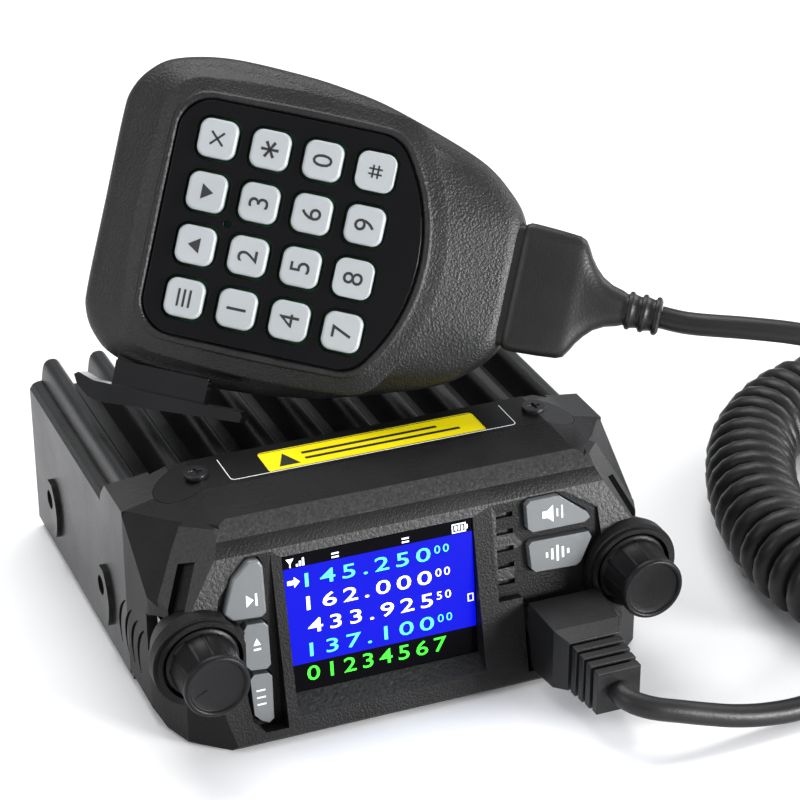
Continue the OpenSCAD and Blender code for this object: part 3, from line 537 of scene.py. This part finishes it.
def digits(name, text, size, place, body, ink, spacing=1.0, thick=0.03, bold=0.0, fit=None):
    """Plain digits as a thin mesh, put on a surface by place(x, y, height)."""
    curve = bpy.data.curves.new(name, "FONT")
    curve.body = text
    curve.size = size
    curve.align_x = "CENTER"
    curve.align_y = "CENTER"
    curve.space_character = spacing
    curve.offset = bold
    curve.extrude = thick / 2
    curve.resolution_u = 3
    temp = link(name + "_curve", curve)
    mesh = bpy.data.meshes.new_from_object(temp.evaluated_get(bpy.context.evaluated_depsgraph_get()))
    bpy.data.objects.remove(temp)
    co = np.array([v.co[:] for v in mesh.vertices])
    co[:, :2] -= (co[:, :2].max(axis=0) + co[:, :2].min(axis=0)) / 2
    if fit:
        co[:, :2] *= np.array(fit) / (2 * co[:, :2].max(axis=0))
    for v, (x, y, z) in zip(mesh.vertices, co):
        v.co = Vector(place(x, y, z + thick / 2)) * MM
    mesh.materials.clear()
    mesh.materials.append(ink)
    mesh.name = name
    obj = link(name, mesh)
    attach(obj, body)
    return obj


SIGNS = {
    "star": [[(x * math.cos(a) - y * math.sin(a), x * math.sin(a) + y * math.cos(a))
              for x, y in ((-0.22, 0), (0.22, 0), (0.3, 1.7), (-0.3, 1.7))]
             for a in [i * math.pi / 3 for i in range(6)]],
    "hash": [[(x - 0.17, -1.3), (x + 0.17, -1.3), (x + 0.17, 1.3), (x - 0.17, 1.3)] for x in (-0.5, 0.5)]
    + [[(-1.25, y - 0.17), (1.25, y - 0.17), (1.25, y + 0.17), (-1.25, y + 0.17)] for y in (-0.5, 0.5)],
    "up": [[(-1.5, -0.9), (1.5, -0.9), (0, 1.4)]],
    "down": [[(-1.5, 0.9), (0, -1.4), (1.5, 0.9)]],
    "menu": [[(-1.7, y - 0.22), (1.7, y - 0.22), (1.7, y + 0.22), (-1.7, y + 0.22)] for y in (-1.1, 0, 1.1)],
    "exit": [[(-1.4, -1.1), (-1.1, -1.4), (1.4, 1.1), (1.1, 1.4)],
             [(-1.4, 1.1), (1.1, -1.4), (1.4, -1.1), (-1.1, 1.4)]],
}
for row in range(4):
    for col in range(4):
        label = KEY_NAMES[row][col]
        u0, v0 = (col - 1.5) * KEY_PITCH, (1.5 - row) * KEY_PITCH
        body = "key_" + label + "_body"
        softened("key_" + label, "keytop_" + label, body, KEY, width=0.55, segments=4)

        def on_key(x, y, h, u0=u0, v0=v0):
            return on_mic(u0 - y, v0 + x, KEY_TOP + 0.005 + h)
        if label in SIGNS:
            flat_sign("sign_" + label, SIGNS[label], on_key, body, INK)
        else:
            digits("sign_" + label, label, KEY_DIGIT, on_key, body, INK)

# ---------------------------------------------------------------- radio body
softened("heatsink_chassis", "cooling_body", "radio", CAST, width=0.3, segments=2)
softened("bottom_cover", "underside", "radio", CAST, width=0.2, segments=2)
bezel = softened("front_bezel", "front_frame", "radio", PLASTIC, width=0.32, segments=3)
bezel.data.materials.append(COARSE)
FACET = Vector((0.735, -0.383, 0.559))     # normal of the corner facet on the right
FACET_AT = Vector((49, -17, 35.9))
for face in bezel.data.polygons:
    at, out = face.center / MM, face.normal
    on_band = at.z > 38.2 and out.y < -0.45 and out.z > 0.6 and abs(out.x) < 0.25
    on_chin = -27 < at.x < 13 and 2.6 < at.z < 7.4 and out.z > 0.4 and at.y < -40
    side = Vector((abs(out.x), out.y, out.z)).dot(FACET)
    above = (Vector((abs(at.x), at.y, at.z)) - FACET_AT).dot(FACET)
    on_bar = side > 0.97 and above > 0.5
    on_frame = out.y < -0.9 and at.y < -36 and 26 < at.z and abs(at.x) < 36
    if on_band or on_chin or on_bar or on_frame:
        face.material_index = 1
softened("top_trim_plate", "top_strip", "radio", SATIN, width=0.25, segments=2)
softened("trim_screws", "strip_screws", "radio", STEEL, width=0.2, segments=2)
softened("cover_screws", "underside_screws", "radio", STEEL, width=0.15, segments=2)
for n in ("vm", "call", "exit", "moni", "fm"):
    softened(n + "_button", n + "_cap", n + "_button_body", BUTTON, width=0.5, segments=4)


KNOB_X, KNOB_Z = 43, 18.6
KNOB_RIDGES = 12
KNOB_POINTS = 216
POINTER_ANGLE = 202
# (radius, y, depth of the scallops between the skirt's ridges)
KNOB_PROFILE = [(0.01, -35.7, 0), (2.95, -35.7, 0), (2.95, -43.0, 0), (6.7, -43.0, 0), (6.95, -43.15, 0),
                (6.98, -43.4, 0), (6.9, -44.1, 0), (6.6, -44.3, 0), (6.42, -44.4, 0.05),
                (6.36, -44.7, 0.16), (6.1, -47.5, 0.2), (5.82, -50.8, 0.16), (5.78, -51.0, 0.05),
                (5.8, -51.15, 0), (6.05, -51.3, 0), (6.18, -51.5, 0), (6.2, -51.8, 0), (6.17, -52.3, 0),
                (6.02, -52.62, 0), (5.75, -52.78, 0), (5.4, -52.74, 0), (5.15, -52.5, 0),
                (5.05, -52.3, 0), (4.9, -52.24, 0), (4.0, -52.12, 0), (2.5, -51.98, 0), (1.0, -51.92, 0),
                (0.01, -51.92, 0)]


def knob(name, node, body, side):
    def point(r, y, dip, k):
        a = 2 * math.pi * (k + 0.5) / KNOB_POINTS
        f = (KNOB_RIDGES * a / (2 * math.pi)) % 1
        r -= dip * min(1, 9 * min(f, 1 - f)) ** 2
        return (side * KNOB_X + r * math.cos(a), y, KNOB_Z + r * math.sin(a))
    rings = [[point(r, y, dip, k) for k in range(KNOB_POINTS)] for r, y, dip in KNOB_PROFILE]
    verts, faces = loft(rings, close_first=True, close_last=True)
    obj = make(name, verts, faces, body, SATIN, angle=40)
    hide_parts(node)


knob("left_knob", "volume_knob", "volume", -1)
knob("right_knob", "channel_knob", "channel", 1)
a0 = math.radians(POINTER_ANGLE)
pointer = [(r * math.cos(a0) + w * math.sin(a0), r * math.sin(a0) - w * math.cos(a0))
           for r, w in ((4.8, 0.25), (1.8, 0.25), (1.8, -0.25), (4.8, -0.25))]


def on_knob(x, y, h):
    """A point of the left knob's dished end."""
    return (x - KNOB_X, -52.0 - 0.03 * math.hypot(x, y) ** 1.1 - h, KNOB_Z + y)


flat_sign("left_knob_pointer", [pointer], on_knob, "volume", GLOSS)
softened("plug_boot", "plug_cover", "radio", RUBBER, width=1.1, segments=4)
softened("modular_plug", "plug_insert", "radio", CLEAR, width=0.25, segments=2)
softened("antenna_socket", "aerial_socket", "radio", NICKEL, width=0.3, segments=2)
softened("antenna_insulator", "aerial_insulator", "radio", PTFE, width=0.2, segments=2)
softened("power_grommet", "lead_gland", "radio", RUBBER, width=0.5, segments=3)
softened("speaker_jack", "speaker_outlet", "radio", SATIN, width=0.3, segments=3)
softened("fan_frame", "fan_housing", "radio", PLASTIC, width=0.2, segments=2)
softened("fan_rotor", "fan_blades", "fan", PLASTIC, width=0.1, segments=1)
for n, m in (("front_circuit_board", BOARD), ("main_circuit_board", BOARD), ("speaker", STEEL),
             ("mic_jack", NICKEL), ("volume_pot", NICKEL), ("channel_encoder", NICKEL),
             ("mic_circuit_board", BOARD), ("mic_capsule", NICKEL), ("display_module", STEEL)):
    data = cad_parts[n].data
    data.materials.clear()
    data.materials.append(m)

# the display and the front buttons lean back by the same angle
TILT = math.radians(7.5)
DISPLAY_Y0 = -40.6 - 21 * math.tan(TILT)
CAP_OUT = 1.81
SCREEN_OUT = 0.42
PRINT = 0.03


def lean(x, y, z):
    """A point of the leaning display plane: y into the panel, z up along it."""
    return (x, DISPLAY_Y0 + y * math.cos(TILT) + z * math.sin(TILT), -y * math.sin(TILT) + z * math.cos(TILT))


def on_cap(x, z, h):
    return lean(x, -CAP_OUT - h, z)


def on_screen(x, z, h):
    return lean(x, -SCREEN_OUT - h, z)


def bar_sign(x0, z0, x1, z1):
    return [(x0, z0), (x1, z0), (x1, z1), (x0, z1)]


# plain white signs in place of the words on the front buttons
BUTTON_SIGNS = {
    "vm": [[(-33.6, 29.0), (-32.2, 27.8), (-33.6, 26.6)], bar_sign(-31.9, 26.6, -31.5, 29.0)],
    "call": [bar_sign(-32.9, 17.8, -31.5, 18.2), [(-32.9, 18.8), (-31.5, 18.8), (-32.2, 20.2)]],
    "exit": [bar_sign(-33.0, 9.6, -31.3, 9.9), bar_sign(-33.0, 8.2, -31.3, 8.5),
             bar_sign(-33.0, 6.8, -31.3, 7.1)],
    "moni": [[(25.2, 31.7), (26.2, 31.7), (27.4, 30.7), (27.4, 34.1), (26.2, 33.1), (25.2, 33.1)],
             bar_sign(28.1, 31.6, 28.4, 33.2), bar_sign(29.1, 31.1, 29.4, 33.7)],
    "fm": [bar_sign(x, 24.2 - h, x + 0.45, 24.2 + h)
           for x, h in ((25.6, 0.5), (26.7, 1.1), (27.8, 1.6), (28.9, 1.1), (30.0, 0.5))],
}
for n, shapes in BUTTON_SIGNS.items():
    flat_sign(n + "_sign", shapes, on_cap, n + "_button_body", WHITE_INK)

# yellow label with plain bars in place of any wording
softened("caution_label", "top_label", "radio", LABEL, width=0)
LABEL_TOP = 41.1
STRIP_TOP = 41.2


def on_label(x, y, h):
    return (0.8 + x, -17 + y, LABEL_TOP + h)


bars = [bar_sign(-14, 0.7, 13.5, 1.5), bar_sign(-14, -1.4, 17.5, -0.6)]
tri = [[(-19.6, -2.4), (-15.4, -2.4), (-17.5, 2.2)]]
flat_sign("label_bars", bars + tri, on_label, "radio", LABEL_INK)
flat_sign("label_border", [bar_sign(-21.6, y, 21.6, y + 0.16) for y in (-3.7, 3.54)], on_label, "radio",
          LABEL_INK)

# a thin printed line round three sides of the top strip
LINE, CORNER_R, CORNER_X, CORNER_Y = 0.16, 0.9, 28, -20.2
rim = [(-CORNER_X + CORNER_R * math.cos(a), CORNER_Y + CORNER_R * math.sin(a))
       for a in np.linspace(math.pi, 1.5 * math.pi, 7)]
rim += [(CORNER_X + CORNER_R * math.cos(a), CORNER_Y + CORNER_R * math.sin(a))
        for a in np.linspace(-0.5 * math.pi, 0, 7)]
rim = [(-28.9, -12.6)] + rim + [(28.9, -12.6)]


def line_inside(x, y):
    """The inner edge of the printed line, beside a point of its outer edge."""
    return (x - LINE * np.sign(x) * (abs(x) > 28.5), y + LINE * (y < CORNER_Y))


strip_line = [[a, b, line_inside(*b), line_inside(*a)] for a, b in zip(rim, rim[1:])]
flat_sign("strip_outline", strip_line, lambda x, y, h: (x, y, STRIP_TOP + h), "radio", WHITE_INK, thick=0.02)

# ---------------------------------------------------------------- display

softened("display_window", "display_glass", "radio", LENS, width=0.2, segments=2)
verts = [on_screen(x, z, h) for h in (0.0, PRINT) for x, z in bar_sign(-25.8, 12.4, 11.4, 31.7)]
faces = [(0, 1, 2, 3), (4, 5, 6, 7), (0, 1, 5, 4), (1, 2, 6, 5), (2, 3, 7, 6), (3, 0, 4, 7)]
make("screen_field", verts, faces, "radio", SCREEN)
ROWS = [(28.9, "145.250", "00", "green"), (24.25, "162.000", "00", "white"),
        (19.6, "433.925", "50", "white"), (14.95, "137.100", "00", "cyan")]


def screen_digits(name, text, x0, x1, z0, height, tint, h=PRINT, bold=0.02):
    """A row of digits on the screen, fitted between x0 and x1 and centred on the height z0."""
    digits(name, text, 4.0, lambda x, y, d: on_screen((x0 + x1) / 2 + x, z0 + y, h + d), "radio", GLOW[tint],
           spacing=1.3, bold=bold, fit=(x1 - x0, height))


for i, (z0, text, small, tint) in enumerate(ROWS):
    screen_digits("row_%d_digits" % i, text, -21.8, 2.9, z0, 2.75, tint)
    screen_digits("row_%d_small" % i, small, 3.7, 6.6, z0 + 0.5, 1.6, tint, bold=0.0)
screen_digits("channel_digits", "01234567", -22.6, 5.2, 10.2, 2.95, "lime", h=0.0)
row_arrow = [(-25.2, 0.42), (-23.9, 0.42), (-23.9, 1.05), (-22.8, 0), (-23.9, -1.05), (-23.9, -0.42),
             (-25.2, -0.42)]
flat_sign("row_pointer", [row_arrow], lambda x, y, h: on_screen(x, 28.9 + y, PRINT + h), "radio",
          GLOW["white"])


def frame_sign(x0, z0, x1, z1, t=0.22):
    """Outline of a small box on the screen."""
    return [bar_sign(x0, z0, x1, z0 + t), bar_sign(x0, z1 - t, x1, z1),
            bar_sign(x0, z0 + t, x0 + t, z1 - t), bar_sign(x1 - t, z0 + t, x1, z1 - t)]


status = [[(-25.2, 33.6), (-23.7, 33.6), (-24.45, 32.5)], bar_sign(-24.57, 31.9, -24.33, 33.4),
          bar_sign(-23.3, 31.9, -22.9, 32.4), bar_sign(-22.7, 31.9, -22.3, 32.9),
          bar_sign(-22.1, 31.9, -21.7, 33.4),
          bar_sign(-16.4, 32.1, -15.0, 32.4), bar_sign(-16.4, 32.8, -15.0, 33.1),
          bar_sign(-2.6, 32.1, -1.2, 32.4), bar_sign(-2.6, 32.8, -1.2, 33.1)]
status += frame_sign(7.4, 31.9, 10.2, 33.7) + frame_sign(9.9, 17.6, 11.1, 19.2)
status.append(bar_sign(10.25, 32.4, 10.55, 33.2))
status += [bar_sign(x, 32.35, x + 0.4, 33.25) for x in (7.95, 8.6, 9.25)]
flat_sign("status_signs", status, lambda x, y, h: on_screen(x, y, PRINT + h), "radio", GLOW["white"])

# ---------------------------------------------------------------- stage
floor_mesh = bpy.data.meshes.new("floor")
FLOOR_HALF = 3.0
FLOOR_Z = -0.0004
corners = [(x, y, FLOOR_Z) for x, y in bar_sign(-FLOOR_HALF, -FLOOR_HALF, FLOOR_HALF, FLOOR_HALF)]
floor_mesh.from_pydata(corners, [], [(0, 1, 2, 3)])
floor = link("floor", floor_mesh)
floor_mesh.materials.append(material("pale_floor", (0.90, 0.90, 0.91), 0.5, mottle=0.01, mottle_scale=4))
world = bpy.data.worlds.new("studio")
scene.world = world
world.use_nodes = True
background = world.node_tree.nodes["Background"]
background.inputs["Color"].default_value = (0.95, 0.97, 1.0, 1)
background.inputs["Strength"].default_value = 0.46


def softbox(name, at, aim, size_x, size_y, power):
    """A rectangular light at one point, turned to another."""
    data = bpy.data.lights.new(name, "AREA")
    data.shape = "RECTANGLE"
    data.size, data.size_y = size_x, size_y
    data.energy = power
    lamp = bpy.data.objects.new(name, data)
    scene.collection.objects.link(lamp)
    lamp.location = at
    lamp.rotation_mode = "QUATERNION"
    lamp.rotation_quaternion = (Vector(aim) - Vector(at)).to_track_quat("-Z", "Y")


softbox("left_light", (-0.75, -0.15, 0.42), (0, 0, 0.03), 0.45, 0.45, 2.5)
softbox("top_light", (0.05, 0.4, 0.9), (0, 0, 0.03), 0.8, 0.5, 8)
softbox("right_light", (0.75, 0.15, 0.42), (0, 0, 0.04), 0.4, 0.4, 2.5)
softbox("low_right_light", (0.62, -0.72, 0.16), (0, 0, 0.07), 0.32, 0.22, 17)
softbox("front_light", (-0.1, -0.9, 0.75), (0, 0, 0.03), 0.6, 0.4, 1)
